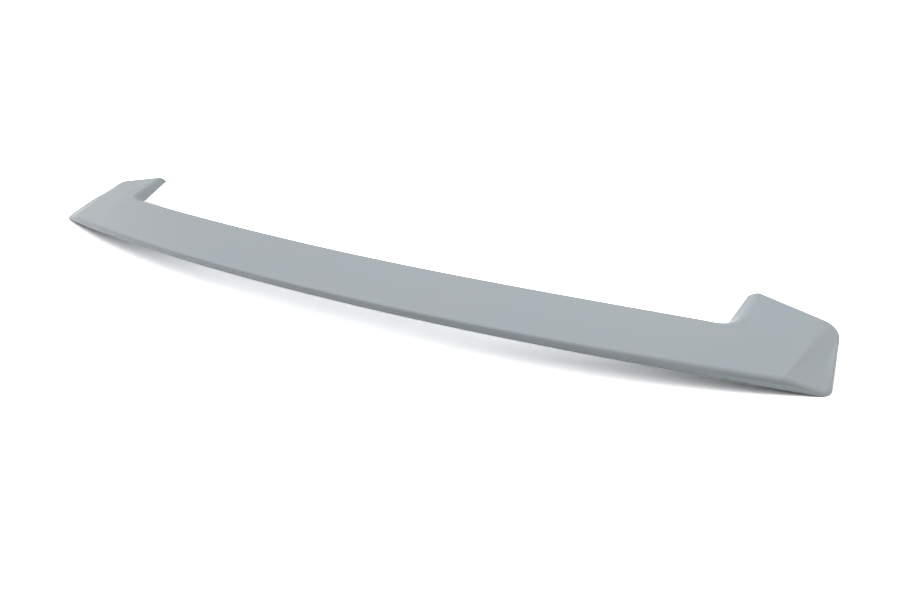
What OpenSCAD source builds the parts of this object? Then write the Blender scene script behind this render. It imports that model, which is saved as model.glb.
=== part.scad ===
// Boot lid spoiler, moulded in one piece as a thin shell that is open below.
// A long blade bridges the lid, and a horn at each end reaches forward beside it.
// Millimetres, +Z up, +Y towards the front of the car, origin on the middle bonding land.
// The shell is a loft: four rails run from the middle of the blade to the rear corner,
// and a section is strung across them at every station.

/* [Overall] */
// Width over the two rear corners
span = 1198; // [1080:2:1360]
// How far the rear edge stands behind the corners at the middle
rear_reach = 108; // [80:1:135]
// How high the rear edge stands above the corners at the middle
rear_rise = 37.8; // [25:0.1:50]
// Fullness of the rear edge from above, where 2 is a parabola
rear_fullness = 2.27; // [1.9:0.01:2.8]
// Fullness of the rise of the rear edge
rise_fullness = 2.66; // [2:0.01:3.2]

/* [Rear face] */
// Height of the rear face at the middle
face_h = 13.7; // [10:0.1:20]
// Height of the rear face where it meets the side facet
fold_h = 12.7; // [9:0.1:18]
// How far the side facet starts inside the rear corner
fold_in = 50.5; // [40:0.5:70]
// Overhang of the face's top beyond its foot at the middle
overhang = 9.3; // [0:0.1:13]
// Fullness of the overhang along the rear edge
overhang_fullness = 2.16; // [1.8:0.01:2.8]
// Length of the rounding at the top of the face, on each side of its corner
brow_round = 4.5; // [2:0.1:7]
// Height of the standing band at the foot of the face beside the horns
band_h = 3.4; // [2.5:0.1:4.5]
// Depth of the hollow above the band
hollow_d = 1.8; // [0.5:0.1:2.4]
// How far inside the rear corner the band starts to stand out
band_in = 170; // [120:1:220]

// Height of the rim at the rear corner
rim_h = 3.4; // [2.8:0.1:4.6]

/* [Blade] */
// Front edge at the middle, behind the line of the rear corners
blade_back = 15; // [-10:0.5:30]
// Rise of the blade from the rear face's top to its front edge at the middle
blade_rise = 6.6; // [2:0.1:12]
// Fullness of the front edge from above
blade_fullness = 2.17; // [1.9:0.01:2.6]
// Fullness of the fall of the front edge towards the horns
fall_fullness = 2.77; // [2:0.01:3.2]
// Crown of the top between its front and rear edges
crown_h = 1; // [0:0.1:3]
// Bevel of the thin front edge, out and down
edge_bevel = 1.1; // [0.6:0.1:1.6]

/* [Horns] */
// Inner corner at the horn's root, inside the rear corner
root_in = 117; // [105:0.5:130]
// Inner corner at the root, in front of the rear corners
root_y = 40; // [30:0.5:52]
// Inner corner at the root, height above the rear corners
root_z = 42.1; // [34:0.1:50]
// Inner corner at the horn's tip, inside the rear corner
tip_in = 103.8; // [98:0.1:112]
// Inner corner at the tip, in front of the rear corners
tip_y = 124.7; // [110:0.1:145]
// Inner corner at the tip, height above the rear corners
tip_z = 50.3; // [42:0.1:56]
// Outer end of the horn's straight front edge, inside the rear corner
outer_in = 24; // [18:0.5:32]
// Outer end of the front edge, how far it stands behind the tip
outer_back = 7.7; // [3:0.1:14]
// Outer end of the front edge, height above the rear corners
outer_z = 34.1; // [28:0.1:40]
// Front end of the straight side edge, inside the rear corner
side_in = 1.8; // [0:0.1:5]
// Front end of the side edge, how far it stands behind the tip
side_back = 26.7; // [18:0.1:36]
// Front end of the side edge, height above the rear corners
side_z = 22.8; // [18:0.1:27]
// Width of the slanted inner flank, at the root
flank_w_root = 12.4; // [9:0.1:15]
// Drop of the inner flank, at the root
flank_d_root = 15.5; // [11:0.1:18]
// Width of the inner flank, at the tip
flank_w_tip = 9.2; // [6:0.1:12]
// Drop of the inner flank, at the tip
flank_d_tip = 6.2; // [4:0.1:9]
// Width of the slanted front of the horn, at the tip
front_w_tip = 3.6; // [2:0.1:6]
// Width of the slanted front of the horn, at the outer corner
front_w_outer = 3; // [2:0.1:5]
// Drop of the slanted front at the outer corner
front_d_outer = 4; // [2.5:0.1:6]

/* [Roundings] */
// Turn from the blade into the horn, length taken from the blade
root_turn_blade = 34; // [20:0.5:45]
// Turn from the blade into the horn, length taken from the flank
root_turn_flank = 27; // [14:0.5:34]
// Turn round the tip, length on each side
tip_turn = 6; // [3:0.1:10]
// Turn from the front edge into the side, how far it still follows the front edge
outer_turn_front = 14; // [8:0.5:17]
// Turn from the front edge into the side, how far it already follows the side
outer_turn_side = 11; // [6:0.5:14]
// Share of that turn at which the crease of the side facet meets it
crease_share = 0.25; // [0.1:0.01:0.5]
// Turn round the rear corner, length on each side
rear_turn = 13; // [9:0.5:20]
// Rounding of the crease above the flank, length on each side
crease_round = 6; // [2:0.1:8]
// Bevel of the side edge, out and down
side_bevel = 2.4; // [1:0.1:3]

/* [Shell] */
// Wall of the moulding
wall = 2.8; // [2:0.1:3.6]

/* [Bonding lands] */
// Diameter of a bonding land
land_d = 24; // [16:0.5:32]
// How far a land stands off the underside
land_h = 1.5; // [0.8:0.1:3]
// Share of the blade's half length at which its outer lands lie
land_blade = 0.65; // [0.5:0.01:0.8]
// Share of the horn's front edge at which its land lies
land_horn = 0.42; // [0.3:0.01:0.6]
// Distance of a horn's land behind the front edge, as a share of the horn's length
land_horn_back = 0.34; // [0.28:0.01:0.5]

/* [Hidden] */
$fn = 64;

// Primer grey
primer = [0.68, 0.71, 0.71];

// The rails are cut into eight stretches: blade, root turn, flank, tip turn, front edge,
// outer turn up to the crease, outer turn past it, and rear corner.
// A station is a number from 0 to 8, and these are the steps in each stretch.
stations = [18, 9, 6, 5, 7, 3, 6, 4];
last = len(stations);
crease = 6;
top_steps = 7;
bend_steps = 4;
tiny = 0.001;
// How far the wall's lower edge stands out beyond its top edge, along the side
side_foot = 0.74 * side_bevel;

half = span / 2;
fold_x = half - fold_in;
blade_mid_z = rear_rise + face_h + blade_rise;

root = [half - root_in, root_y, root_z];
tip = [half - tip_in, tip_y, tip_z];
outer = [half - outer_in, tip_y - outer_back, outer_z];
side = [half - side_bevel - side_in, tip_y - side_back, side_z];
corner_foot = [half, 0, 0];
corner_top = [half - side_bevel, 0, rim_h];

// Shares of the rear edge, from the middle to the fold, at which the stretches
// up to the crease end
rear_shares = [0, 0.775, 0.885, 0.933, 0.941, 0.994, 1];

function mix(a, b, t) = a + (b - a) * t;
function unit(v) = v / norm(v);
function clamp(t) = max(0, min(1, t));
function ease(t) = pow(clamp(t), 2) * (3 - 2 * clamp(t));
function left_of(v) = unit([-v[1], v[0], 0]);
function lift(h) = [0, 0, h];
// Curve that leaves a towards b and arrives at c from b
function bend(a, b, c, t) = mix(mix(a, b, t), mix(b, c, t), t);
// Curve that leaves a towards b and arrives at d from c
function sweep(a, b, c, d, t) = mix(bend(a, b, c, t), bend(b, c, d, t), t);

// Front edge of the blade, top side
function blade_edge(x) =
    let (r = x / root[0])
    [
        x,
        mix(-blade_back, root[1], pow(r, blade_fullness)),
        mix(blade_mid_z, root[2], pow(r, fall_fullness))
    ];

// Foot of the rear face
function foot(x) =
    let (r = x / half)
    [
        x,
        -rear_reach * (1 - pow(r, rear_fullness)),
        rear_rise * (1 - pow(r, rise_fullness))
    ];

// Top corner of the rear face
function brow(x) =
    let (r = x / fold_x)
    foot(x) + [0, -overhang * (1 - pow(r, overhang_fullness)), mix(face_h, fold_h, r * r)];

// Points of the top front rail
turn_in = blade_edge(root[0] - root_turn_blade);
flank_dir = unit(tip - root);
front_dir = unit(outer - tip);
side_dir = unit(corner_top - side);
flank_in = root + flank_dir * root_turn_flank;
flank_out = tip - flank_dir * tip_turn;
front_in = tip + front_dir * tip_turn;
side_out = side + side_dir * rear_turn / 2;

// Round the outer front corner, from the front edge into the side
function outer_turn(t) =
    sweep(
        outer,
        outer + front_dir * outer_turn_front,
        side - side_dir * outer_turn_side,
        side,
        t);

function front_top(s) =
    s < 1 ? blade_edge(turn_in[0] * s) :
    s < 2 ? bend(turn_in, root, flank_in, s - 1) :
    s < 3 ? mix(flank_in, flank_out, s - 2) :
    s < 4 ? bend(flank_out, tip, front_in, s - 3) :
    s < 5 ? mix(front_in, outer, s - 4) :
    s < 6 ? outer_turn(crease_share * (s - 5)) :
    s < 7 ? outer_turn(mix(crease_share, 1, s - 6)) :
    mix(side, side_out, s - 7);

// Direction that points out of the part, level, across the front rail
function outwards(s) =
    let (at = max(tiny, min(last - tiny, s)))
    s == 0 ? [0, 1, 0] : left_of(front_top(at + tiny) - front_top(at - tiny));

// Points of the low front rail
flank_share = root_turn_flank / norm(tip - root);
low_turn_in = turn_in + left_of(root - turn_in) * edge_bevel - lift(edge_bevel);
low_flank_in = flank_in
    + left_of(flank_dir) * mix(flank_w_root, flank_w_tip, flank_share)
    - lift(mix(flank_d_root, flank_d_tip, flank_share));
low_tip = tip + left_of(flank_dir) * flank_w_tip + left_of(front_dir) * front_w_tip
    - lift(flank_d_tip);
low_outer = outer + left_of(front_dir) * front_w_outer - lift(front_d_outer);
low_flank_dir = unit(low_tip - low_flank_in);
low_front_dir = unit(low_outer - low_tip);
low_flank_out = low_tip - low_flank_dir * tip_turn;
low_front_in = low_tip + low_front_dir * tip_turn;
low_reach = 0.4 * norm(low_flank_in - low_turn_in);

// Past the outer end the slanted front narrows to the bevel of the side
function low_past_outer(s) =
    let (t = ease((s - 5) / 2))
    front_top(s) + outwards(s) * mix(front_w_outer, edge_bevel, t)
        - lift(mix(front_d_outer, edge_bevel, t));

function front_low(s) =
    s < 1 ? front_top(s) + outwards(s) * edge_bevel - lift(edge_bevel) :
    s < 2 ? sweep(
        low_turn_in,
        low_turn_in + unit(root - turn_in) * low_reach,
        low_flank_in - low_flank_dir * low_reach,
        low_flank_in,
        s - 1) :
    s < 3 ? mix(low_flank_in, low_flank_out, s - 2) :
    s < 4 ? bend(low_flank_out, low_tip, low_front_in, s - 3) :
    s < 5 ? mix(low_front_in, low_outer, s - 4) :
    low_past_outer(s);

// Rear rails. Past the fold they run to the rear corner and turn into the side.
fold = brow(fold_x);
fold_dir = unit(corner_top - fold);
foot_in = foot(half - rear_turn);
brow_in = corner_top - fold_dir * rear_turn;

function rear_x(s) =
    let (k = min(floor(s), crease - 1))
    fold_x * mix(rear_shares[k], rear_shares[k + 1], s - k);

function rear_low(s) =
    s < 6 ? foot(rear_x(s)) :
    s < 7 ? foot(mix(fold_x, foot_in[0], s - 6)) :
    bend(foot_in, corner_foot, corner_foot - side_dir * rear_turn, s - 7);

function rear_top(s) =
    s < 6 ? brow(rear_x(s)) :
    s < 7 ? mix(fold, brow_in, s - 6) :
    bend(brow_in, corner_top, corner_top - side_dir * rear_turn, s - 7);

// Direction that points into the part, level, across the rear rail
function inwards(s) =
    let (at = max(tiny, min(last - tiny, s)))
    s == 0 ? [0, 1, 0] : left_of(rear_low(at + tiny) - rear_low(at - tiny));

function face_height(s) = rear_top(s)[2] - rear_low(s)[2];
function skin(s) = min(wall, 0.8 * face_height(s));

// The hollow above the band fades in towards the fold, and out again at the rear corner
function hollow(s) =
    ease((rear_low(s)[0] - half + band_in) / (band_in - fold_in))
    * (1 - ease(s - 7))
    * min(hollow_d, 0.15 * face_height(s));

// Shares of the face's height at which the hollow is deepest and the band begins
function low_shares(s) =
    [
        min(0.5, (band_h + hollow_d) / face_height(s)),
        min(0.35, band_h / face_height(s))
    ];

// Share of a full flank that the front edge has at a station, 0 on the thin blade
function flank_part(s) =
    clamp((front_top(s)[2] - front_low(s)[2] - edge_bevel) / flank_d_tip);

// The rails of the underside, one wall in from those of the top
function under_front_top(s) =
    front_top(s) - lift(skin(s)) - outwards(s) * 0.45 * skin(s) * flank_part(s);

function under_front_low(s) =
    let (f = flank_part(s), thin = mix(edge_bevel * 0.7, side_foot, ease(s - crease)))
    mix(
        front_top(s) + outwards(s) * thin - lift(skin(s)),
        front_low(s) - outwards(s) * skin(s),
        f);

function under_rear_low(s) = rear_low(s) + inwards(s) * (skin(s) + hollow(s));

// Past the fold's last stretch the face has become the slanted side edge
function under_rear_top(s) =
    mix(
        under_rear_low(s) + (rear_top(s) - rear_low(s)) * (1 - skin(s) / face_height(s)),
        rear_top(s) - lift(skin(s)),
        ease(s - 7));

// Rise of the crown at a share t of the way from the front edge to the rear face
function crown(t) = lift(crown_h * 16 * pow(t * (1 - t), 2));

// Section across four rail points: front face, crease, crowned top, brow and rear face
function section(low_f, top_f, top_r, low_r, front_round, rear_round, shares, sink) =
    let (
        c = min(front_round, 0.45 * norm(low_f - top_f)),
        b = min(rear_round, 0.45 * norm(low_r - top_r)),
        lead = top_f + unit(top_r - top_f) * c,
        trail = top_r + unit(top_f - top_r) * b
    )
    concat(
        [low_f],
        [for (k = [0 : bend_steps])
            bend(top_f + unit(low_f - top_f) * c, top_f, lead, k / bend_steps)],
        [for (k = [1 : top_steps - 1])
            mix(lead, trail, k / top_steps) + crown(k / top_steps)],
        [for (k = [0 : bend_steps])
            bend(trail, top_r, top_r + unit(low_r - top_r) * b, k / bend_steps)],
        [mix(low_r, top_r, shares[0]) + sink],
        [mix(low_r, top_r, shares[1])],
        [low_r]
    );

function top_section(s) =
    section(front_low(s), front_top(s), rear_top(s), rear_low(s),
        crease_round, brow_round, low_shares(s), inwards(s) * hollow(s));

function under_section(s) =
    section(under_front_low(s), under_front_top(s), under_rear_top(s), under_rear_low(s),
        crease_round / 2, brow_round / 2, low_shares(s), [0, 0, 0]);

// The last section of the underside lies out at the foot of the slanted side edge,
// and its points below the brow gather in one, so that they close the corner as a fan
function under_end() =
    let (out = left_of(side_dir) * side_foot)
    section(
        under_front_low(last), under_front_top(last) + out,
        under_rear_top(last) + out, under_rear_low(last) + out,
        crease_round / 2, 0, [1, 1], [0, 0, 0]);

function mirrored(points) = [for (p = points) [-p[0], p[1], p[2]]];

half_stations = concat(
    [for (k = [0 : last - 1], n = [1 : stations[k]]) k + n / stations[k]]);
columns = len(half_stations);
total = 2 * columns + 1;
rows = len(top_section(0));

top_half = [for (s = half_stations) top_section(s)];
under_half = [for (s = half_stations) s < last ? under_section(s) : under_end()];

function full_width(middle, sections) =
    concat(
        [for (k = [columns - 1 : -1 : 0]) mirrored(sections[k])],
        [middle],
        sections
    );

function flatten(lists) = [for (l = lists, p = l) p];

// Two triangles of a quad, split along the diagonal that mirrors across the middle
function quad(a, b, c, d, column) =
    column < columns ? [[a, b, c], [a, c, d]] : [[a, b, d], [b, c, d]];

// Index of a point: sheet 0 is the top and sheet 1 the underside
function index(sheet, column, row) = (sheet * total + column) * rows + row;

sheet_faces = [
    for (i = [0 : total - 2], j = [0 : rows - 2])
        each concat(
            quad(index(0, i, j), index(0, i + 1, j),
                index(0, i + 1, j + 1), index(0, i, j + 1), i),
            quad(index(1, i, j + 1), index(1, i + 1, j + 1),
                index(1, i + 1, j), index(1, i, j), i))
];

rim_faces = [
    for (i = [0 : total - 2])
        each concat(
            quad(index(1, i, 0), index(1, i + 1, 0),
                index(0, i + 1, 0), index(0, i, 0), i),
            quad(index(0, i, rows - 1), index(0, i + 1, rows - 1),
                index(1, i + 1, rows - 1), index(1, i, rows - 1), i))
];

side_faces = [
    for (j = [0 : rows - 2])
        each concat(
            quad(index(0, 0, j), index(0, 0, j + 1),
                index(1, 0, j + 1), index(1, 0, j), total),
            quad(index(1, total - 1, j), index(1, total - 1, j + 1),
                index(0, total - 1, j + 1), index(0, total - 1, j), 0))
];

// Bonding lands: stations, and shares of the way from the front edge to the rear face
land_places = [[0, 0.5], [land_blade, 0.5], [4 + land_horn, land_horn_back]];

function underside(s, t) = mix(under_front_top(s), under_rear_top(s), t) + crown(t);

function down_from(s, t) =
    let (
        along = underside(s + tiny, t) - underside(s, t),
        across = underside(s, t + tiny) - underside(s, t),
        n = unit(cross(along, across))
    )
    s == 0 ? unit([0, n[1], n[2]]) : n;

function land_face(s, t) = underside(s, t) + down_from(s, t) * land_h;

module skin_shell() {
    polyhedron(
        points = concat(
            flatten(full_width(top_section(0), top_half)),
            flatten(full_width(under_section(0), under_half))),
        faces = concat(sheet_faces, rim_faces, side_faces),
        convexity = 8);
}

// A round flat land that grows out of the wall, square to the underside
module land(s, t) {
    down = down_from(s, t);
    translate(underside(s, t))
        rotate([0, acos(down[2]), atan2(down[1], down[0])])
            translate([0, 0, -wall / 2])
                cylinder(h = wall / 2 + land_h, d = land_d);
}

module spoiler_shell() {
    color(primer)
        translate(-land_face(0, 0.5))
            union() {
                skin_shell();
                for (place = land_places) {
                    land(place[0], place[1]);
                    if (place[0] > 0)
                        mirror([1, 0, 0])
                            land(place[0], place[1]);
                }
            }
}

spoiler_shell();
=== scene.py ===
"""Looks of a car boot lid spoiler in grey primer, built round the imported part.

The moulded shell is a loft, as in the part's source: four rails run from the middle of the
blade to the rear corner, and each of the two sheets of the wall is strung between them. A
band of one profile goes right round the shell and joins the sheets: over the crest, down
the outer face, round the wall's edge and up the inner face.
"""

import math

import bpy
import numpy as np
from bpy.props import FloatProperty, FloatVectorProperty, PointerProperty
from mathutils import Matrix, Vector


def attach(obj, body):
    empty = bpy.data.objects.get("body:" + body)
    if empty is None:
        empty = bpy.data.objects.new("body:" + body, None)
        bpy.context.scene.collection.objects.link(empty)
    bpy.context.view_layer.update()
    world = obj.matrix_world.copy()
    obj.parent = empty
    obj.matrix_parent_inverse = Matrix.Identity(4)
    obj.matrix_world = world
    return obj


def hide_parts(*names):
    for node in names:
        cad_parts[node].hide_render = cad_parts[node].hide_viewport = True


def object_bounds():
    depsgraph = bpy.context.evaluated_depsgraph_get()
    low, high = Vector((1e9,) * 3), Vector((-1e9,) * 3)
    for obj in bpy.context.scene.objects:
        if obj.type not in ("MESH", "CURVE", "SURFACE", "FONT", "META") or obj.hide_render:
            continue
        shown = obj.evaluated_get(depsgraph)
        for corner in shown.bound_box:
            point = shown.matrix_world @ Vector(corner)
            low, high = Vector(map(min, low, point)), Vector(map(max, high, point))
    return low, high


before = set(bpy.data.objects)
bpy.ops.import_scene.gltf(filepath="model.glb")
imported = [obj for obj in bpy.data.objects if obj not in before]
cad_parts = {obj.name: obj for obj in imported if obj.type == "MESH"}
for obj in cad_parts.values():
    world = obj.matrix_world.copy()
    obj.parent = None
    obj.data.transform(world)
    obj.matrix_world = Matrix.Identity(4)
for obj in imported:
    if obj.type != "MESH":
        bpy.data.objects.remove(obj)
CAD_BOX = [list(corner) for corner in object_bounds()]

bl_info = {
    "name": "Boot lid spoiler",
    "version": (1, 0, 0),
    "blender": (4, 5, 0),
    "location": "3D View > Sidebar > Spoiler",
    "description": "Moulded boot lid spoiler in grey primer, with its studio",
    "category": "Add Mesh",
}

BODY = "root"
NODE = "spoiler_shell"
PRIMER = "grey_primer"

# Stretches of the right half: blade, root turn, flank, tip turn, front edge, outer turn up to
# the crease, outer turn past it, and rear corner
STATION_STEPS = (72, 44, 20, 32, 24, 8, 44, 44)
BLADE_END, FRONT_END, CREASE, CORNER, LAST = 1, 5, 6, 7, len(STATION_STEPS)
# Station on the flank from which its wide roll narrows, over one station
FLANK_FADE = 2.4
# Shares of the rear edge, from the middle to the fold, at which the stretches end
REAR_SHARES = np.array([0, 0.78, 0.925, 0.962, 0.97, 0.995, 1])
# Farthest stations that the rolls on the front and on the rear rail look across to
FRONT_HOLD, REAR_HOLD = CORNER, CREASE

# Steps across a sheet, down the outer face, round each corner of the wall's edge and up the
# inner face
SHEET_STEPS = 26
OUTER_STEPS = 24
EDGE_STEPS = 4
INNER_STEPS = 12
# Steps along a rail where its length is measured, and samples in the fold's rounding
DENSE_STEPS = 4000
FOLD_SAMPLES = 9
# Turns of a land's profile, steps round its edge, and the flat middle's share of its radius
LAND_TURNS = 64
LAND_EDGE_STEPS = 4
LAND_FLAT = 0.6
# Station and share across of the middle land, whose face holds the frame's origin
MIDDLE = (0, 0.5)
# Part of a station over which directions are taken
NEARBY = 0.001

# Greatest wall, hollow, band and height of the hollow's deepest line, and the height where
# the hollow ends, as shares of the rear face's height
WALL_LIMIT = 0.8
HOLLOW_LIMIT = 0.15
BAND_LIMIT = 0.3
DEEPEST_LIMIT = 0.5
HOLLOW_TOP = 0.85
# Farthest start of a roll, in heights of the face below it
LEAD_LIMIT = 1.5
# Greatest rounding of the wall's outer and inner corner, as a share of the lower side
ROUND_LIMIT, INNER_ROUND_LIMIT = 0.4, 0.2
# Leads of the inner sheet, as a share of the outer sheet's
INNER_LEAD = 0.5
# Share of the wall by which the underside's front rail moves in below a full flank
FLANK_SHIFT = 0.45
# Share of the thin edge's bevel that the underside has
THIN_BEVEL = 0.7
# Handles of the root turn's lower edge, as a share of the way between its ends
TURN_HANDLE = 0.4


def length(name, default, description):
    """A size in metres."""
    return FloatProperty(name=name, default=default, description=description, unit="LENGTH")


def factor(name, default, description):
    """A plain number."""
    return FloatProperty(name=name, default=default, description=description)


def colour(name, default, description):
    """A linear colour."""
    return FloatVectorProperty(
        name=name, default=default, description=description, subtype="COLOR", size=3)


class SpoilerSize(bpy.types.PropertyGroup):
    """Sizes of the moulding as in the part's source, and the softer edges of its looks."""

    span: length("Span", 1.198, "Width over the two rear corners")
    rear_reach: length("Rear reach", 0.108, "Rear edge behind the corners, at the middle")
    rear_rise: length("Rear rise", 0.0378, "Rear edge above the corners, at the middle")
    rear_fullness: factor("Rear fullness", 2.27, "Fullness of the rear edge from above")
    rise_fullness: factor("Rise fullness", 2.66, "Fullness of the rise of the rear edge")
    face_h: length("Face height", 0.0137, "Height of the rear face at the middle")
    fold_h: length("Fold height", 0.0127, "Height of the rear face at the side facet")
    fold_in: length("Fold inset", 0.0505, "Start of the side facet inside the corner")
    overhang: length("Overhang", 0.0093, "Top of the rear face beyond its foot")
    overhang_fullness: factor("Overhang fullness", 2.16, "Fullness of the overhang")
    band_h: length("Band height", 0.0034, "Height of the standing band at the foot")
    hollow_d: length("Hollow depth", 0.0018, "Depth of the hollow above the band")
    band_in: length("Band inset", 0.17, "Start of the band inside the corner")
    rim_h: length("Rim height", 0.0034, "Height of the rim at the rear corner")
    blade_back: length("Blade back", 0.015, "Front edge behind the corners, at the middle")
    blade_rise: length("Blade rise", 0.0066, "Rise of the blade to its front edge")
    blade_fullness: factor("Blade fullness", 2.17, "Fullness of the front edge")
    fall_fullness: factor("Fall fullness", 2.77, "Fullness of the fall of the front edge")
    crown_h: length("Crown", 0.001, "Crown of the top between its edges")
    edge_bevel: length("Edge bevel", 0.0011, "Bevel of the thin front edge")
    root_in: length("Root inset", 0.117, "Inner corner at the horn's root")
    root_y: length("Root forward", 0.04, "Inner corner in front of the rear corners")
    root_z: length("Root height", 0.0421, "Inner corner above the rear corners")
    tip_in: length("Tip inset", 0.1038, "Inner corner at the horn's tip")
    tip_y: length("Tip forward", 0.1247, "Tip in front of the rear corners")
    tip_z: length("Tip height", 0.0503, "Tip above the rear corners")
    outer_in: length("Outer inset", 0.024, "Outer end of the horn's front edge")
    outer_back: length("Outer back", 0.0077, "Outer end behind the tip")
    outer_z: length("Outer height", 0.0341, "Outer end above the rear corners")
    side_in: length("Side inset", 0.0018, "Front end of the side edge")
    side_back: length("Side back", 0.0267, "Front end of the side edge behind the tip")
    side_z: length("Side height", 0.0228, "Front end of the side edge above the corners")
    flank_w_root: length("Flank width at root", 0.0124, "Width of the inner flank")
    flank_d_root: length("Flank drop at root", 0.0155, "Drop of the inner flank")
    flank_w_tip: length("Flank width at tip", 0.0092, "Width of the inner flank")
    flank_d_tip: length("Flank drop at tip", 0.0062, "Drop of the inner flank")
    front_w_tip: length("Front width at tip", 0.0036, "Width of the slanted front")
    front_w_outer: length("Front width outside", 0.003, "Width of the slanted front")
    front_d_outer: length("Front drop outside", 0.004, "Drop of the slanted front")
    root_turn_blade: length("Root turn, blade", 0.034, "Length taken from the blade")
    root_turn_flank: length("Root turn, flank", 0.027, "Length taken from the flank")
    tip_turn: length("Tip turn", 0.006, "Turn round the tip, on each side")
    outer_turn_front: length("Outer turn, front", 0.014, "Reach along the front edge")
    outer_turn_side: length("Outer turn, side", 0.011, "Reach along the side")
    crease_share: factor("Crease share", 0.25, "Share of the outer turn at the crease")
    rear_turn: length("Rear turn", 0.013, "Turn round the rear corner, on each side")
    side_bevel: length("Side bevel", 0.0024, "Bevel of the side edge, out and down")
    side_foot_share: factor("Side foot", 0.74, "Share of that bevel at the wall's lower edge")
    wall: length("Wall", 0.0028, "Wall of the moulding")
    land_d: length("Land diameter", 0.024, "Diameter of a bonding land")
    land_h: length("Land height", 0.0015, "How far a land stands off the underside")
    land_blade: factor("Blade land", 0.65, "Place of a blade's land along its half")
    land_horn: factor("Horn land", 0.42, "Place of a horn's land along the front edge")
    land_horn_back: factor("Horn land back", 0.34, "Place of a horn's land behind the edge")
    brow_lead: length("Brow lead", 0.0065, "Start of the roll above the rear face")
    crease_lead: length("Crease lead", 0.009, "Start of the roll above the flank")
    tip_lead: length("Tip lead", 0.0025, "Start of the roll at the horn's tip and its side")
    low_tip_turn: length("Lower tip turn", 0.01, "Turn round the tip's lower corner")
    edge_round: length("Edge rounding", 0.0006, "Rounding of the wall's thin edges")
    fold_round: length("Fold rounding", 0.002, "Rounding of the fold in the rear rails")
    flank_sag: length("Flank sag", 0.0008, "How far the flank is hollow in its middle")
    facet_sag: length("Facet sag", 0.0018, "How far the side facet is hollow in its middle")


class SpoilerFinish(bpy.types.PropertyGroup):
    """Colours and grain of the primer."""

    cool: colour("Cool grey", (0.425, 0.475, 0.515), "The bluer of the primer's two greys")
    warm: colour("Warm grey", (0.437, 0.478, 0.495), "The greener of the primer's two greys")
    # Paler grey of the painted highlight along the outer corner of the wall's edge
    painted_highlight: colour("Rubbed grey", (0.56, 0.59, 0.60), "Primer rubbed thin on an edge")
    roughness: factor("Roughness", 0.52, "Middle roughness of the dry primer")
    grain: length("Grain", 0.0011, "Width of the spray's grain")
    grain_depth: length("Grain depth", 0.00001, "Height of the spray's grain")


class SpoilerStudio(bpy.types.PropertyGroup):
    """Floor, light and camera."""

    floor_reach: length("Floor reach", 14, "Half the side of the floor")
    floor_gap: length("Floor gap", 0.0002, "Gap between the floor and the lowest corner")
    floor_white: factor("Floor white", 3.5, "White of the floor as the camera sees it")
    floor_bounce: factor("Floor bounce", 0.3, "Grey of the floor as the object sees it")
    # How far above the floor a thing darkens it with painted shade
    painted_shade_reach: length("Contact", 0.05, "How far above it a thing darkens the floor")
    sky: factor("Sky", 0.57, "Strength of the light from all round")
    key: factor("Key", 0.9, "Strength of the key light")
    key_azimuth: FloatProperty(
        name="Key azimuth", default=math.radians(270), unit="ROTATION",
        description="Side that the key light comes from, clockwise from the car's front")
    key_height: FloatProperty(
        name="Key height", default=math.radians(30), unit="ROTATION",
        description="Height of the key light above the floor")
    key_spread: FloatProperty(
        name="Key spread", default=math.radians(50), unit="ROTATION",
        description="Width of the key light as the object sees it")
    fill: factor("Fill", 3.5, "Power of the softbox above the right half, in watts")
    fill_place: FloatVectorProperty(
        name="Fill place", default=(0.6, 0.3, 1.2), subtype="XYZ", unit="LENGTH",
        description="Place of the softbox, which shines straight down")
    fill_width: length("Fill width", 0.8, "Side of the square softbox")
    eye: FloatVectorProperty(
        name="Eye", default=(0.55975, -0.74647, 0.44168), subtype="XYZ", unit="LENGTH",
        description="Place of the camera")
    yaw: FloatProperty(
        name="Yaw", default=0.47094, unit="ROTATION", description="Turn of the camera")
    pitch: FloatProperty(
        name="Pitch", default=0.49144, unit="ROTATION", description="Tilt of the camera")
    roll: FloatProperty(
        name="Roll", default=-0.00657, unit="ROTATION", description="Roll of the camera")
    sensor: FloatProperty(name="Sensor", default=36, description="Width of the sensor, in mm")
    lens: FloatProperty(name="Lens", default=30.783, description="Focal length, in mm")


# Curves and directions. A point set has one row for each station.

def ease(share):
    """Smooth step: three times the square less twice the cube, held between 0 and 1."""
    share = np.clip(share, 0, 1)
    return share * share * (3 - 2 * share)


def hump(share):
    """Sixteen times the squared product of a share and its rest: from 0 up to 1 in the
    middle and back to 0, level at all three."""
    return 16 * (share * (1 - share)) ** 2


def unit(vectors):
    """Vectors divided by their lengths."""
    return vectors / np.linalg.norm(vectors, axis=-1, keepdims=True)


def left_of(vectors):
    """Level unit vectors square to these, on their left."""
    level = np.zeros_like(vectors)
    level[..., 0] = -vectors[..., 1]
    level[..., 1] = vectors[..., 0]
    return unit(level)


def lift(height):
    """Upward vectors of these heights."""
    height = np.asarray(height, float)
    return np.stack([0 * height, 0 * height, height], axis=-1)


def between(a, b, share):
    """Points at these shares of the way from a to b."""
    return a + (b - a) * np.asarray(share, float)[..., None]


def bend(a, b, c, share):
    """Quadratic curve that leaves a towards b and arrives at c from b."""
    return between(between(a, b, share), between(b, c, share), share)


def sweep(a, b, c, d, share):
    """Cubic curve that leaves a towards b and arrives at d from c."""
    return between(bend(a, b, c, share), bend(b, c, d, share), share)


def strung(a, b, shares):
    """Straight lines from each a to its b, sampled at shares: points by stations by shares."""
    return between(a[:, None], b[:, None], np.broadcast_to(shares, (len(a), shares.shape[-1])))


def even(lines, steps):
    """Even shares from 0 to 1 for each of these lines."""
    return np.broadcast_to(np.linspace(0, 1, steps + 1), (len(lines), steps + 1))


def bent(a, b, c, steps):
    """Bends from each a round its b to its c, in this many steps."""
    return bend(a[:, None], b[:, None], c[:, None], even(a, steps))


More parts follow.
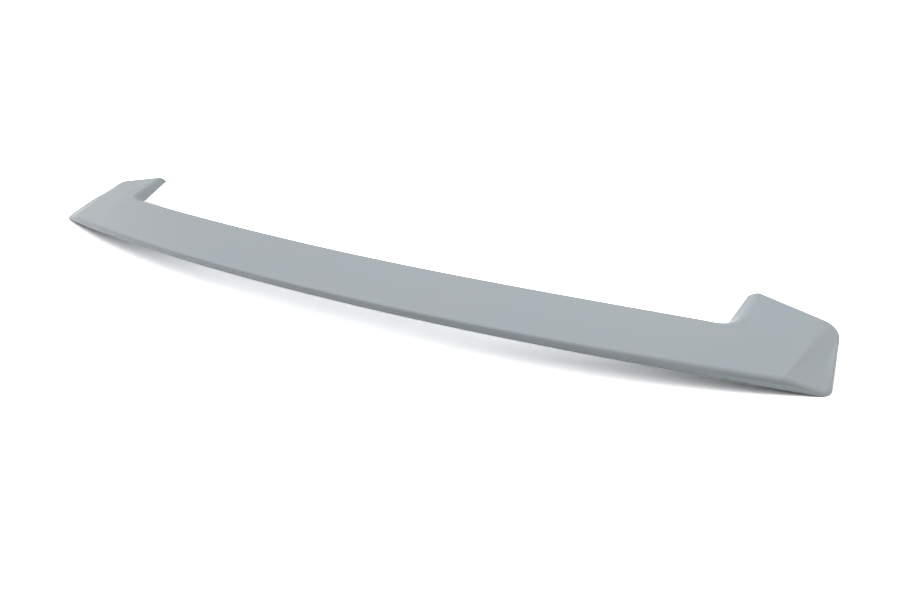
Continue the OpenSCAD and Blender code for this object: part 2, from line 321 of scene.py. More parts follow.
def piecewise(stations, pieces):
    """Each stretch's own curve, called with the share along that stretch."""
    points = np.empty((len(stations), 3))
    stretch = np.clip(np.floor(stations).astype(int), 0, len(pieces) - 1)
    for number, piece in enumerate(pieces):
        here = stretch == number
        points[here] = piece(stations[here] - number)
    return points


def monotone(x, knots, values):
    """Cubic through the knots that never turns back: at an inner knot the slope is the
    harmonic mean of the slopes of the two chords that meet there."""
    step = np.diff(knots)
    chord = np.diff(values) / step
    inner = 2 * chord[:-1] * chord[1:] / (chord[:-1] + chord[1:])
    slope = np.concatenate([chord[:1], inner, chord[-1:]])
    i = np.clip(np.searchsorted(knots, x, side="right") - 1, 0, len(step) - 1)
    t = (x - knots[i]) / step[i]
    rise = step[i] * t * (1 - t) * (slope[i] * (1 - t) - slope[i + 1] * t)
    return values[i] + (values[i + 1] - values[i]) * ease(t) + rise


def along(rail, stations):
    """Unit vectors along a rail."""
    at = np.clip(stations, NEARBY, LAST - NEARBY)
    return unit(rail(at + NEARBY) - rail(at - NEARBY))


def across(rail, stations):
    """Level unit vectors square to a rail, on its left: out of the part on a front rail,
    and into it on a rear rail."""
    square = left_of(along(rail, stations))
    square[stations == 0] = (0, 1, 0)
    return square


class Rails:
    """Rails of the right half, in metres from the point on the floor midway between the rear
    corners. A station runs from 0 at the middle of the blade to 8 past the rear corner."""

    def __init__(self, size):
        half = size.span / 2
        self.size = size
        self.half = half
        self.fold_x = half - size.fold_in
        self.root = np.array([half - size.root_in, size.root_y, size.root_z])
        self.tip = np.array([half - size.tip_in, size.tip_y, size.tip_z])
        self.outer = np.array([
            half - size.outer_in, size.tip_y - size.outer_back, size.outer_z])
        self.side = np.array([
            half - size.side_bevel - size.side_in, size.tip_y - size.side_back, size.side_z])
        self.corner_foot = np.array([half, 0, 0])
        self.corner_top = np.array([half - size.side_bevel, 0, size.rim_h])
        self.side_foot = size.side_foot_share * size.side_bevel

        self.turn_in = self.blade_edge(np.array([self.root[0] - size.root_turn_blade]))[0]
        self.flank_dir = unit(self.tip - self.root)
        self.front_dir = unit(self.outer - self.tip)
        self.side_dir = unit(self.corner_top - self.side)
        self.flank_in = self.root + self.flank_dir * size.root_turn_flank
        self.flank_out = self.tip - self.flank_dir * size.tip_turn
        self.front_in = self.tip + self.front_dir * size.tip_turn

        root_share = size.root_turn_flank / np.linalg.norm(self.tip - self.root)
        width = size.flank_w_root + (size.flank_w_tip - size.flank_w_root) * root_share
        drop = size.flank_d_root + (size.flank_d_tip - size.flank_d_root) * root_share
        self.low_turn_in = (
            self.turn_in + left_of(self.root - self.turn_in) * size.edge_bevel
            - lift(size.edge_bevel))
        self.low_flank_in = self.flank_in + left_of(self.flank_dir) * width - lift(drop)
        self.low_tip = (
            self.tip + left_of(self.flank_dir) * size.flank_w_tip
            + left_of(self.front_dir) * size.front_w_tip - lift(size.flank_d_tip))
        self.low_outer = (
            self.outer + left_of(self.front_dir) * size.front_w_outer
            - lift(size.front_d_outer))

        self.fold = self.brow(np.array([self.fold_x]))[0]
        self.fold_dir = unit(self.corner_top - self.fold)
        self.foot_in = self.foot(np.array([half - size.rear_turn]))[0]
        self.brow_in = self.corner_top - self.fold_dir * size.rear_turn

        self.dense = np.linspace(0, LAST, DENSE_STEPS + 1)
        steps = np.linalg.norm(np.diff(self.front_top(self.dense), axis=0), axis=1)
        self.front_length = np.concatenate([[0], np.cumsum(steps)])

    def blade_edge(self, x):
        """Front edge of the blade: from the middle to the root, forward and down by powers
        of the share of the way."""
        size = self.size
        share = x / self.root[0]
        top = size.rear_rise + size.face_h + size.blade_rise
        y = -size.blade_back + (self.root[1] + size.blade_back) * share ** size.blade_fullness
        z = top + (self.root[2] - top) * share ** size.fall_fullness
        return np.stack([x, y, z], axis=-1)

    def foot(self, x):
        """Foot of the rear face: back and up from the corners, less a power of the share."""
        size = self.size
        share = x / self.half
        y = -size.rear_reach * (1 - share ** size.rear_fullness)
        z = size.rear_rise * (1 - share ** size.rise_fullness)
        return np.stack([x, y, z], axis=-1)

    def brow(self, x):
        """Top corner of the rear face: above the foot, and behind it by the overhang."""
        size = self.size
        share = x / self.fold_x
        back = -size.overhang * (1 - share ** size.overhang_fullness)
        height = size.face_h + (size.fold_h - size.face_h) * share ** 2
        return self.foot(x) + np.stack([0 * x, back, height], axis=-1)

    def outer_turn(self, share):
        """Cubic turn from the horn's front edge into its side."""
        size = self.size
        return sweep(
            self.outer, self.outer + self.front_dir * size.outer_turn_front,
            self.side - self.side_dir * size.outer_turn_side, self.side, share)

    def front_top(self, stations):
        """Front rail on the top: blade, turn, flank, tip, front edge, outer turn, side."""
        crease = self.size.crease_share
        return piecewise(stations, [
            lambda t: self.blade_edge(self.turn_in[0] * t),
            lambda t: bend(self.turn_in, self.root, self.flank_in, t),
            lambda t: between(self.flank_in, self.flank_out, t),
            lambda t: bend(self.flank_out, self.tip, self.front_in, t),
            lambda t: between(self.front_in, self.outer, t),
            lambda t: self.outer_turn(crease * t),
            lambda t: self.outer_turn(crease + (1 - crease) * t),
            lambda t: self.side + self.side_dir * (self.size.rear_turn / 2 * t)[:, None],
        ])

    def out(self, stations):
        """Level unit vectors out of the part, square to the front rail."""
        return across(self.front_top, stations)

    def front_low(self, stations):
        """Lower end of the front rail's outer face: a bevel on the blade, a wide flank on
        the horn's inner side, and a slanted front that narrows into the side's bevel."""
        size = self.size
        flank = unit(self.low_tip - self.low_flank_in)
        front = unit(self.low_outer - self.low_tip)
        reach = TURN_HANDLE * np.linalg.norm(self.low_flank_in - self.low_turn_in)
        flank_out = self.low_tip - flank * size.low_tip_turn
        front_in = self.low_tip + front * size.low_tip_turn
        low = piecewise(stations, [
            lambda t: self.blade_edge(self.turn_in[0] * t),
            lambda t: sweep(
                self.low_turn_in, self.low_turn_in + unit(self.root - self.turn_in) * reach,
                self.low_flank_in - flank * reach, self.low_flank_in, t),
            lambda t: between(self.low_flank_in, flank_out, t),
            lambda t: bend(flank_out, self.low_tip, front_in, t),
            lambda t: between(front_in, self.low_outer, t),
            lambda t: self.front_top(FRONT_END + t),
            lambda t: self.front_top(CREASE + t),
            lambda t: self.front_top(CORNER + t),
        ])
        narrowing = ease((stations - FRONT_END) / (CORNER - FRONT_END))
        width = size.front_w_outer + (size.edge_bevel - size.front_w_outer) * narrowing
        drop = size.front_d_outer + (size.edge_bevel - size.front_d_outer) * narrowing
        on_blade = stations < BLADE_END
        width = np.where(on_blade, size.edge_bevel, width)
        drop = np.where(on_blade, size.edge_bevel, drop)
        beside = (on_blade | (stations >= FRONT_END))[:, None]
        return np.where(beside, low + self.out(stations) * width[:, None] - lift(drop), low)

    def rear_x(self, stations):
        """How far across the car each station up to the crease meets the rear rails."""
        at = np.interp(np.minimum(stations, CREASE), self.dense, self.front_length)
        knots = np.interp(np.arange(CREASE + 1.0), self.dense, self.front_length)
        return monotone(at, knots, self.fold_x * REAR_SHARES)

    def rear_low(self, stations):
        """Foot of the rear face, and its turn into the side."""
        past = self.fold_x + (self.foot_in[0] - self.fold_x) * np.clip(stations - CREASE, 0, 1)
        face = self.foot(np.where(stations < CREASE, self.rear_x(stations), past))
        corner = bend(
            self.foot_in, self.corner_foot,
            self.corner_foot - self.side_dir * self.size.rear_turn,
            np.maximum(stations - CORNER, 0))
        return np.where((stations < CORNER)[:, None], face, corner)

    def rear_top_sharp(self, stations):
        """Top of the rear face, the facet's lower edge past the fold, and the corner."""
        face = self.brow(self.rear_x(stations))
        facet = between(self.fold, self.brow_in, np.clip(stations - CREASE, 0, 1))
        corner = bend(
            self.brow_in, self.corner_top,
            self.corner_top - self.side_dir * self.size.rear_turn,
            np.maximum(stations - CORNER, 0))
        past = np.where((stations < CORNER)[:, None], facet, corner)
        return np.where((stations < CREASE)[:, None], face, past)

    def rear_top(self, stations):
        """The sharp rail with its fold rounded: each point is the mean of the rail over a
        short length to both sides."""
        rail = self.rear_top_sharp(self.dense)
        steps = np.linalg.norm(np.diff(rail, axis=0), axis=1)
        lengths = np.concatenate([[0], np.cumsum(steps)])
        here = np.interp(stations, self.dense, lengths)
        reach = np.minimum(self.size.fold_round, np.minimum(here, lengths[-1] - here))
        at = here[:, None] + reach[:, None] * np.linspace(-1, 1, FOLD_SAMPLES)
        return np.stack(
            [np.interp(at, lengths, rail[:, k]).mean(axis=1) for k in range(3)], axis=-1)

    def inward(self, stations):
        """Level unit vectors into the part, square to the rear rail."""
        return across(self.rear_low, stations)

    def face_height(self, stations):
        """Height of the rear face."""
        return (self.rear_top(stations) - self.rear_low(stations))[:, 2]

    def skin(self, stations):
        """Wall thickness, less where the rear face is lower than the wall."""
        return np.minimum(self.size.wall, WALL_LIMIT * self.face_height(stations))

    def hollow(self, stations):
        """Depth of the hollow above the band: it fades in towards the fold, and out again
        beyond it."""
        size = self.size
        inset = self.rear_low(stations)[:, 0] - self.half + size.band_in
        depth = np.minimum(size.hollow_d, HOLLOW_LIMIT * self.face_height(stations))
        fade = 1 - ease(stations - CREASE)
        return ease(inset / (size.band_in - size.fold_in)) * fade * depth

    def flank_part(self, stations):
        """Share of a full flank that the front edge has, 0 on the thin blade."""
        drop = (self.front_top(stations) - self.front_low(stations))[:, 2]
        return np.clip((drop - self.size.edge_bevel) / self.size.flank_d_tip, 0, 1)

    def under_front_top(self, stations):
        """Front rail of the underside, one wall below the top's."""
        skin = self.skin(stations)
        shift = FLANK_SHIFT * skin * self.flank_part(stations)
        return self.front_top(stations) - lift(skin) - self.out(stations) * shift[:, None]

    def under_front_low(self, stations):
        """Lower end of the front rail's inner face."""
        size = self.size
        skin = self.skin(stations)
        thin = THIN_BEVEL * size.edge_bevel
        thin = thin + (self.side_foot - thin) * ease(stations - CREASE)
        out = self.out(stations)
        plate = self.front_top(stations) + out * thin[:, None] - lift(skin)
        flank = self.front_low(stations) - out * skin[:, None]
        return between(plate, flank, self.flank_part(stations))

    def under_rear_low(self, stations):
        """Foot of the rear wall's inner face."""
        shift = self.skin(stations) + self.hollow(stations)
        return self.rear_low(stations) + self.inward(stations) * shift[:, None]

    def under_rear_top(self, stations):
        """Top of the rear wall's inner face, which ends under the slanted side edge."""
        top, low, skin = self.rear_top(stations), self.rear_low(stations), self.skin(stations)
        share = 1 - skin / self.face_height(stations)
        wall = self.under_rear_low(stations) + (top - low) * share[:, None]
        return between(wall, top - lift(skin), ease(stations - CORNER))

    def crown(self, shares):
        """Rise of the crown, a hump from the front rail to the rear rail."""
        return lift(self.size.crown_h * hump(shares))

    def dip(self, stations, shares):
        """Hollow of the side facet, steep at the crease and level at the side edge: 27 times
        the share of the way from crease to edge, the square of its rest, the share across
        and its rest. At its deepest that is 1."""
        past = np.clip((stations - CREASE) / (LAST - CREASE), 0, 1)[:, None]
        depth = 27 * past * (1 - past) ** 2 * shares * (1 - shares)
        return lift(-self.size.facet_sag * depth)

    def under(self, station, share):
        """A point of the underside's sheet and the unit vector down from it."""
        at = np.array([station, station + NEARBY])
        front, rear = self.under_front_top(at), self.under_rear_top(at)
        shares = np.array([share, share + NEARBY])
        points = strung(front, rear, shares) + self.crown(shares)
        down = unit(np.cross(points[1, 0] - points[0, 0], points[0, 1] - points[0, 0]))
        if station == 0:
            down = unit(down * (0, 1, 1))
        return points[0, 0], down

    def land_face(self, station, share):
        """Middle of a land's face, and the unit vector out of it."""
        point, down = self.under(station, share)
        return point + down * self.size.land_h, down


# The shell

def into_sheet(rail, stations, across_to):
    """Unit vectors from a rail into its sheet: towards the points across, less their part
    along the rail."""
    tangent = along(rail, stations)
    chord = across_to - rail(stations)
    return unit(chord - tangent * np.sum(chord * tangent, axis=1, keepdims=True))


def crest_handle(crest, start, across_to):
    """The crest's points moved square to the sheet, into the plane that touches it at its
    first line. That plane holds the line's own direction and the way across."""
    heading = np.gradient(start, axis=0)
    heading[0] = (1, 0, 0)
    normal = unit(np.cross(heading, across_to - start))
    return crest - normal * np.sum((crest - start) * normal, axis=1, keepdims=True)


def edge_band(outer, inner, edge, press):
    """Line round the shell's edge at each station: a roll from the outer sheet over the
    crest and down the face, a bend round each corner of the wall's edge, and the inner
    face with its bend into the inner sheet.

    Each side is given by its crest, the foot of its face, the first line of its sheet, and
    the line that this sheet is strung to. The roll is a cubic whose handles lie on the
    crest and in the middle of the face. The function press gives how far it is pressed in
    at each share of the face's height.
    """
    top, low, start, across_to = outer
    top_in, low_in, start_in, across_in = inner
    face = np.linalg.norm(low - top, axis=1)
    face_in = np.linalg.norm(low_in - top_in, axis=1)
    rim = np.linalg.norm(low_in - low, axis=1)
    corner = np.minimum(edge, ROUND_LIMIT * np.minimum(face, rim))[:, None]
    corner_in = np.minimum(edge, INNER_ROUND_LIMIT * np.minimum(face_in, rim))[:, None]
    end = low + unit(top - low) * corner
    end_in = low_in + unit(top_in - low_in) * corner_in

    share = even(top, OUTER_STEPS)
    roll = sweep(
        start[:, None], crest_handle(top, start, across_to)[:, None],
        ((top + end) / 2)[:, None], end[:, None], share)
    # The same cubic between heights: 1 at the start and the crest, a half and 0 on the face
    height = 1 - share ** 2 * (3 - share) / 2
    roll_in = sweep(
        end_in[:, None], ((end_in + top_in) / 2)[:, None],
        crest_handle(top_in, start_in, across_in)[:, None], start_in[:, None],
        even(top, INNER_STEPS))
    return np.concatenate([
        (roll + press(height))[:, :-1],
        bent(end, low, low + unit(low_in - low) * corner, EDGE_STEPS),
        bent(low_in + unit(low - low_in) * corner_in, low_in, end_in, EDGE_STEPS),
        roll_in[:, 1:],
    ], axis=1)


def sheet_start(rail, low_rail, stations, across_to, lead):
    """First line of a sheet, this far in from its rail where the face below is high enough."""
    top = rail(stations)
    lead = np.minimum(lead, LEAD_LIMIT * np.linalg.norm(low_rail(stations) - top, axis=1))
    return top + into_sheet(rail, stations, across_to) * lead[:, None]


def shell_bands(rails, stations):
    """The bands of the front and the rear rail.

    The rolls are wide above the flank and the rear face, and narrow along the horn's front
    edge and its side. The flank is pressed in by its sag, and the rear face by its hollow,
    which rises from the band to its deepest line and runs out higher up.
    """
    size = rails.size
    past_flank = ease(stations - FLANK_FADE)
    past_fold = ease((stations - CREASE) / (LAST - CREASE))
    front_lead = size.crease_lead + (size.tip_lead - size.crease_lead) * past_flank
    rear_lead = size.brow_lead + (size.tip_lead - size.brow_lead) * past_fold

    def held(line, hold):
        """The line's points, which stay at the hold's station once they have reached it."""
        return line[np.minimum(np.arange(len(line)), np.searchsorted(stations, hold))]

    def sides(front_top, front_low, rear_top, rear_low, share):
        """The front and the rear side of one sheet, as edge_band takes them."""
        front = sheet_start(
            front_top, front_low, stations, rear_top(np.minimum(stations, FRONT_HOLD)),
            share * front_lead)
        rear = sheet_start(
            rear_top, rear_low, stations, front_top(np.minimum(stations, REAR_HOLD)),
            share * rear_lead)
        return (
            (front_top(stations), front_low(stations), front, held(rear, FRONT_HOLD)),
            (rear_top(stations), rear_low(stations), rear, held(front, REAR_HOLD)))

    front, rear = sides(rails.front_top, rails.front_low, rails.rear_top, rails.rear_low, 1)
    front_in, rear_in = sides(
        rails.under_front_top, rails.under_front_low,
        rails.under_rear_top, rails.under_rear_low, INNER_LEAD)

    sag = size.flank_sag * rails.flank_part(stations) * (1 - past_flank)
    drop = (front[0] - front[1])[:, 2]
    outwards = unit(
        rails.out(stations) * drop[:, None] + lift(np.full_like(drop, size.flank_w_tip)))
    face = rails.face_height(stations)[:, None]
    band = np.minimum(BAND_LIMIT, size.band_h / face)
    deepest = np.minimum(DEEPEST_LIMIT, (size.band_h + size.hollow_d) / face)
    hollow = rails.hollow(stations)[:, None]
    inward = rails.inward(stations)

    def press_flank(height):
        return -outwards[:, None] * (hump(height) * sag[:, None])[..., None]

    def press_face(height):
        rise = ease((height - band) / (deepest - band))
        fall = 1 - ease((height - deepest) / (HOLLOW_TOP - deepest))
        return inward[:, None] * (hollow * np.minimum(rise, fall))[..., None]

    return (
        edge_band(front, front_in, size.edge_round, press_flank),
        edge_band(rear, rear_in, size.edge_round, press_face))


def both_halves(right):
    """The right half's stations with their mirror image before them."""
    left = right[:0:-1] * (-1, 1, 1)
    return np.concatenate([left, right])


def sheet_shares():
    """Shares across a sheet, closer together at both ends, as a cosine spaces them."""
    return 0.5 - 0.5 * np.cos(np.linspace(0, math.pi, SHEET_STEPS + 1))


def quads(grid):
    """Quads between the neighbours in a grid of vertex numbers."""
    return np.stack(
        [grid[:-1, :-1], grid[1:, :-1], grid[1:, 1:], grid[:-1, 1:]], axis=-1).reshape(-1, 4)


def sheet_grid(line, count, first):
    """Vertex numbers of one sheet over this many stations: its rim is a line of the loop
    round the shell, and its inner vertices are numbered from first."""
    inner = SHEET_STEPS - 1
    grid = np.empty((count, SHEET_STEPS + 1), int)
    grid[:, 0] = line[:count]
    grid[-1, 1:-1] = line[count:count + inner]
    grid[:, -1] = line[count + inner:2 * count + inner][::-1]
    grid[0, 1:-1] = line[2 * count + inner:][::-1]
    grid[1:-1, 1:-1] = first + np.arange((count - 2) * inner).reshape(count - 2, inner)
    return grid


def shell_surface(rails):
    """Points, quads and painted edge highlight of the closed shell.

    The band goes right round: along the front rail, down the right side, back along the rear
    rail and up the left side. On a side it is the mean of its two ends, weighted by the share
    of the way. The two sheets are strung between the band's first and last lines, with the
    crown and the facet's dip added. The painted edge highlight is a sine's half wave over the
    outer corner of the wall's edge.
    """
    stations = np.concatenate(
        [k + np.arange(steps) / steps for k, steps in enumerate(STATION_STEPS)] + [[LAST]])
    shares = sheet_shares()
    front, rear = (both_halves(band) for band in shell_bands(rails, stations))
    crown = rails.crown(shares)
    dip = both_halves(rails.dip(stations, shares))
    count, rows = front.shape[:2]
    side = between(front[-1], rear[-1], shares[1:-1, None] * np.ones(rows))
    side = side + crown[1:-1, None]
    loop = np.concatenate([front, side, rear[::-1], side[::-1] * (-1, 1, 1)])
    number = np.arange(len(loop) * rows).reshape(len(loop), rows)

    points = [loop.reshape(-1, 3)]
    faces = [quads(np.concatenate([number, number[:1]]))]
    used = number.size
    for row, way in ((0, -1), (-1, 1)):
        sheet = (strung(front[:, row], rear[:, row], shares) + crown + dip)[1:-1, 1:-1]
        points.append(sheet.reshape(-1, 3))
        faces.append(quads(sheet_grid(number[:, row], count, used))[:, ::way])
        used += sheet[..., 0].size

    # Painted highlight: a sine's half wave over the outer corner of the wall's edge
    painted_highlight_share = np.zeros(rows)
    painted_highlight_share[OUTER_STEPS:OUTER_STEPS + EDGE_STEPS + 1] = np.sin(
        np.linspace(0, math.pi, EDGE_STEPS + 1))
    painted_highlight_share = np.concatenate([np.tile(painted_highlight_share, len(loop)), np.zeros(used - number.size)])
    return np.concatenate(points), np.concatenate(faces), painted_highlight_share


def land_profile(size):
    """Radii and depths of a land, from inside the wall, out over a small fillet, up the side
    and over a rounded edge to the flat middle of the face."""
    radius, height, soft = size.land_d / 2, size.land_h, size.edge_round
    quarter = np.linspace(0, math.pi / 2, LAND_EDGE_STEPS + 1)
    rise, run = soft * (1 - np.cos(quarter)), soft * (1 - np.sin(quarter))
    return np.concatenate([
        [(radius + soft, -height - size.wall / 2), (radius + soft, -height)],
        np.stack([radius + run, rise - height], axis=1)[1:],
        np.stack([radius - rise, -run], axis=1),
        [(radius * LAND_FLAT, 0)],
    ])


def land_surface(rails, place, side):
    """Points and quads of one bonding land: its profile turned about the line out of its
    face. Each end is closed by quads that meet on that line."""
    profile = land_profile(rails.size)
    face, down = rails.land_face(*place)
    angle = np.arange(LAND_TURNS) * 2 * math.pi / LAND_TURNS
    tilt = unit(np.cross(down, (0, 1, 0)))
    other = np.cross(down, tilt)
    spoke = np.cos(angle)[:, None] * tilt + np.sin(angle)[:, None] * other
    rings = face + spoke[:, None] * profile[None, :, :1] + down * profile[None, :, 1:]
    ends = face + down * profile[[0, -1], 1:]
    points = np.concatenate([rings.reshape(-1, 3), ends])
    number = np.arange(LAND_TURNS * len(profile)).reshape(LAND_TURNS, len(profile))
    closed = np.concatenate([number, number[:1]])

    def cap(ring, pole):
        return np.stack(
            [np.full(LAND_TURNS // 2, pole), ring[:-1:2], ring[1::2], ring[2::2]], axis=1)

    faces = np.concatenate([
        quads(closed), cap(closed[:, 0], number.size)[:, ::-1],
        cap(closed[:, -1], number.size + 1)])
    return points * (side, 1, 1), faces[:, ::side]


def new_object(name, data):
    """Links an object with this name and data, at the origin."""
    made = bpy.data.objects.new(name, data)
    bpy.context.scene.collection.objects.link(made)
    return made


def new_piece(name, points, faces, material, smooth=True):
    """Links a mesh object with this name, made of these points and quads."""
    mesh = bpy.data.meshes.new(name)
    mesh.from_pydata(points.tolist(), [], faces.tolist())
    mesh.polygons.foreach_set("use_smooth", np.full(len(mesh.polygons), smooth))
    mesh.materials.append(material)
    mesh.update()
    return new_object(name, mesh)


# Finishes

def node_maker(tree):
    """Empties a node tree and returns a helper that adds a node to it, with its inputs and
    settings."""
    tree.nodes.clear()

    def node(kind, inputs=(), **settings):
        made = tree.nodes.new(kind)
        for key, value in settings.items():
            setattr(made, key, value)
        for socket, value in dict(inputs).items():
            if isinstance(value, bpy.types.NodeSocket):
                tree.links.new(value, made.inputs[socket])
            else:
                made.inputs[socket].default_value = value
        return made

    return node


def new_material(name):
    """A material with an empty node tree, and the helper for its nodes."""
    material = bpy.data.materials.new(name)
    material.use_nodes = True
    return material, node_maker(material.node_tree)


def seen(node):
    """1 for a ray that shows the background, straight or in a reflection or glass, else 0."""
    path = node("ShaderNodeLightPath")
    straight = node("ShaderNodeMath", {
        0: path.outputs["Is Camera Ray"], 1: path.outputs["Is Glossy Ray"]},
        operation="MAXIMUM")
    either = node("ShaderNodeMath", {
        0: straight.outputs[0], 1: path.outputs["Is Transmission Ray"]}, operation="MAXIMUM")
    return either.outputs[0]


def primer_material(finish):
    """Sprayed primer: two near greys in soft clouds, a fine spray grain in colour, gloss and
    relief, long sanding strokes in the gloss, and a painted highlight: paler grey in patches
    along the outer corner of the wall's edge."""
    material, node = new_material(PRIMER)
    place = node("ShaderNodeTexCoord").outputs["Object"]
    clouds = node("ShaderNodeTexNoise", {
        "Vector": place, "Scale": 9.0, "Detail": 3.0, "Roughness": 0.55})
    grain = node("ShaderNodeTexNoise", {
        "Vector": place, "Scale": 1 / finish.grain, "Detail": 2.0, "Roughness": 0.6})
    stretched = node("ShaderNodeMapping", {"Vector": place, "Scale": (0.06, 1.0, 1.0)})
    strokes = node("ShaderNodeTexNoise", {
        "Vector": stretched.outputs["Vector"], "Scale": 420.0, "Detail": 2.0})
    ripple = node("ShaderNodeTexNoise", {"Vector": place, "Scale": 150.0, "Detail": 1.0})

    def spread(source, low, high, to_low=0.0, to_high=1.0):
        return node("ShaderNodeMapRange", {
            "Value": source, "From Min": low, "From Max": high,
            "To Min": to_low, "To Max": to_high}).outputs["Result"]

    def blend(share, a, b, mode="MIX"):
        # A Mix node takes the share at input 0 and two colours at 6 and 7
        made = node("ShaderNodeMix", {0: share, 6: a, 7: b}, data_type="RGBA", blend_type=mode)
        return made.outputs[2]

    greys = blend(
        spread(clouds.outputs["Fac"], 0.35, 0.65), (*finish.cool, 1), (*finish.warm, 1))
    speckle = spread(grain.outputs["Fac"], 0.3, 0.7, 0.975, 1.02)
    toned = blend(1.0, greys, speckle, "MULTIPLY")
    # Painted highlight: paler grey in patches over the outer corner of the wall's edge
    edge_highlight_share = node("ShaderNodeAttribute", attribute_name="painted_edge_highlight").outputs["Fac"]
    patchy = spread(clouds.outputs["Fac"], 0.4, 0.62, 0.15, 0.75)
    painted_highlight = node("ShaderNodeMath", {0: edge_highlight_share, 1: patchy}, operation="MULTIPLY")
    base = blend(painted_highlight.outputs[0], toned, (*finish.painted_highlight, 1))

    gloss = node("ShaderNodeMath", {
        0: spread(strokes.outputs["Fac"], 0.3, 0.7, finish.roughness - 0.05,
                  finish.roughness + 0.05),
        1: spread(clouds.outputs["Fac"], 0.3, 0.7, -0.03, 0.03)}, operation="ADD")
    relief = node("ShaderNodeMath", {
        0: grain.outputs["Fac"],
        1: spread(ripple.outputs["Fac"], 0.0, 1.0, 0.0, 1.5)}, operation="ADD")
    bump = node("ShaderNodeBump", {
        "Height": relief.outputs[0], "Strength": 0.5, "Distance": finish.grain_depth})
    shader = node("ShaderNodeBsdfPrincipled", {
        "Base Color": base, "Roughness": gloss.outputs[0], "Normal": bump.outputs["Normal"],
        "Specular IOR Level": 0.4})
    node("ShaderNodeOutputMaterial", {"Surface": shader.outputs["BSDF"]})
    return material


def primer(finish):
    """The primer, which the first call makes."""
    return bpy.data.materials.get(PRIMER) or primer_material(finish)


def floor_material(studio):
    """White floor: as the camera or a reflection sees it, it is bright enough for white with a
    soft shadow, and a painted shade darkens it where something stands close above it. For
    light that it throws back on the object it is grey."""
    material, node = new_material("studio_floor")
    # Painted shade: the floor as the camera sees it grows darker where something stands close
    # above it
    painted_shade = node("ShaderNodeAmbientOcclusion", {"Distance": studio.painted_shade_reach}, samples=8)
    white = node("ShaderNodeMath", {0: painted_shade.outputs["AO"], 1: studio.floor_white},
                 operation="MULTIPLY")
    grey = node("ShaderNodeMapRange", {
        "Value": seen(node), "To Min": studio.floor_bounce, "To Max": white.outputs[0]})
    matt = node("ShaderNodeBsdfDiffuse", {"Color": grey.outputs["Result"]})
    node("ShaderNodeOutputMaterial", {"Surface": matt.outputs[0]})
    return material


def studio_world(studio):
    """The light from all round, which shows as plain white behind the floor."""
    world = bpy.data.worlds.new("studio_sky")
    world.use_nodes = True
    node = node_maker(world.node_tree)
    strength = node("ShaderNodeMapRange", {
        "Value": seen(node), "To Min": studio.sky, "To Max": 1.0})
    sky = node("ShaderNodeBackground", {
        "Color": (1, 1, 1, 1), "Strength": strength.outputs["Result"]})
    node("ShaderNodeOutputWorld", {"Surface": sky.outputs[0]})
    return world


# Operators

class SPOILER_OT_stage(bpy.types.Operator):
    """Make the floor, the light and the camera"""

    bl_idname = "spoiler.stage"
    bl_label = "Studio"

    def execute(self, context):
        scene = context.scene
        studio = scene.spoiler_studio
        reach = studio.floor_reach
        level = CAD_BOX[0][2] - studio.floor_gap
        corners = np.array([
            (-reach, -reach, level), (reach, -reach, level),
            (reach, reach, level), (-reach, reach, level)])
        floor = new_piece(
            "studio_floor", corners, np.array([[0, 1, 2, 3]]), floor_material(studio), False)

        scene.world = studio_world(studio)

        lamp = bpy.data.lights.new("key_light", "SUN")
        lamp.energy = studio.key
        lamp.angle = studio.key_spread
        key = new_object("key_light", lamp)
        key.rotation_euler = (math.pi / 2 - studio.key_height, 0, math.pi - studio.key_azimuth)

        lamp = bpy.data.lights.new("softbox", "AREA")
        lamp.energy = studio.fill
        lamp.size = studio.fill_width
        new_object("softbox", lamp).location = studio.fill_place

        camera = bpy.data.cameras.new("camera")
        camera.sensor_fit = "HORIZONTAL"
        camera.sensor_width = studio.sensor
        camera.lens = studio.lens
        camera.clip_end = 2 * reach
        eye = new_object("camera", camera)
        eye.location = studio.eye
        turns = (Matrix.Rotation(studio.yaw, 3, "Z")
                 @ Matrix.Rotation(math.pi / 2 - studio.pitch, 3, "X")
                 @ Matrix.Rotation(studio.roll, 3, "Z"))
        eye.rotation_euler = turns.to_euler()
        scene.camera = eye
        scene.view_settings.view_transform = "Standard"
        return {"FINISHED"}


class SPOILER_OT_shell(bpy.types.Operator):
    """Make the moulded shell"""

    bl_idname = "spoiler.shell"
    bl_label = "Shell"

    def execute(self, context):
        scene = context.scene
        rails = Rails(scene.spoiler_size)
        origin, _ = rails.land_face(*MIDDLE)
        points, faces, painted_highlight_share = shell_surface(rails)
        shell = new_piece(
            "moulded_shell", points - origin, faces, primer(scene.spoiler_finish))
        # Painted edge highlight for the primer, one value for each point
        mark = shell.data.attributes.new("painted_edge_highlight", "FLOAT", "POINT")
        mark.data.foreach_set("value", painted_highlight_share)
        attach(shell, BODY)
        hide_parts(NODE)
        return {"FINISHED"}


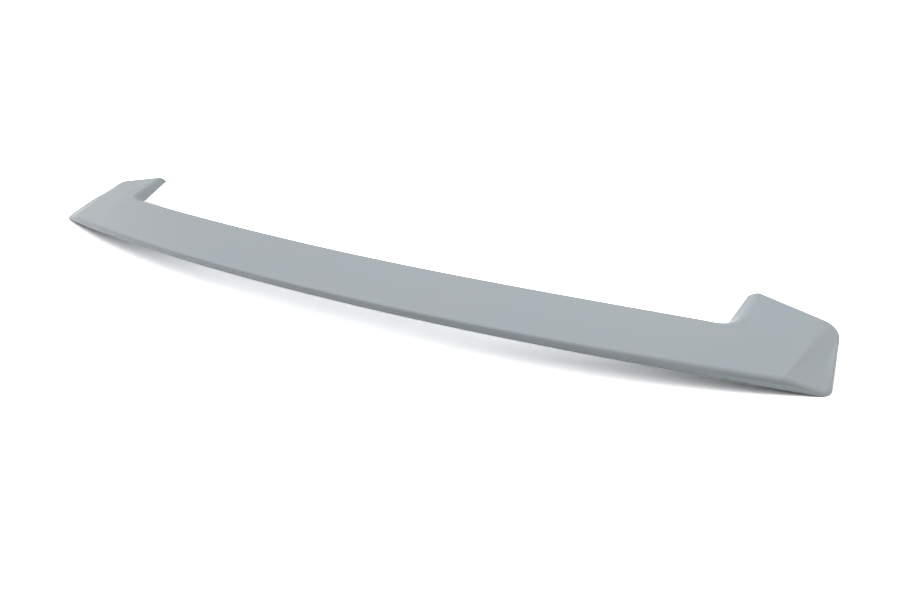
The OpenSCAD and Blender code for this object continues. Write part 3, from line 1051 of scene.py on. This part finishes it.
class SPOILER_OT_lands(bpy.types.Operator):
    """Make the bonding lands on the underside"""

    bl_idname = "spoiler.lands"
    bl_label = "Bonding lands"

    def execute(self, context):
        scene = context.scene
        size = scene.spoiler_size
        rails = Rails(size)
        origin, _ = rails.land_face(*MIDDLE)
        blade = (size.land_blade * BLADE_END, 0.5)
        horn = (FRONT_END - 1 + size.land_horn, size.land_horn_back)
        made = [land_surface(rails, *land) for land in (
            (MIDDLE, 1), (blade, 1), (blade, -1), (horn, 1), (horn, -1))]
        starts = np.cumsum([0] + [len(points) for points, _ in made[:-1]])
        points = np.concatenate([points for points, _ in made])
        faces = np.concatenate([faces + start for (_, faces), start in zip(made, starts)])
        lands = new_piece(
            "bonding_lands", points - origin, faces, primer(scene.spoiler_finish))
        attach(lands, BODY)
        return {"FINISHED"}


class SPOILER_PT_panel(bpy.types.Panel):
    """Buttons that make the spoiler and its studio, and its sizes and colours"""

    bl_label = "Boot lid spoiler"
    bl_idname = "SPOILER_PT_panel"
    bl_space_type = "VIEW_3D"
    bl_region_type = "UI"
    bl_category = "Spoiler"

    def draw(self, context):
        for operator in OPERATORS:
            self.layout.operator(operator.bl_idname)
        for group in ("spoiler_size", "spoiler_finish", "spoiler_studio"):
            box = self.layout.box()
            values = getattr(context.scene, group)
            for name in values.__annotations__:
                box.prop(values, name)


OPERATORS = (SPOILER_OT_stage, SPOILER_OT_shell, SPOILER_OT_lands)
CLASSES = (SpoilerSize, SpoilerFinish, SpoilerStudio, *OPERATORS, SPOILER_PT_panel)


def register():
    """Adds the classes, and the sizes, colours and studio to the scene."""
    for cls in CLASSES:
        bpy.utils.register_class(cls)
    bpy.types.Scene.spoiler_size = PointerProperty(type=SpoilerSize)
    bpy.types.Scene.spoiler_finish = PointerProperty(type=SpoilerFinish)
    bpy.types.Scene.spoiler_studio = PointerProperty(type=SpoilerStudio)


def unregister():
    """Takes away what register adds."""
    del bpy.types.Scene.spoiler_studio
    del bpy.types.Scene.spoiler_finish
    del bpy.types.Scene.spoiler_size
    for cls in reversed(CLASSES):
        bpy.utils.unregister_class(cls)


def main():
    for name in ("Cube", "Light", "Camera"):
        if name in bpy.data.objects:
            bpy.data.objects.remove(bpy.data.objects[name])
    register()
    bpy.ops.spoiler.stage()
    bpy.ops.spoiler.shell()
    bpy.ops.spoiler.lands()


if __name__ == "__main__":
    main()
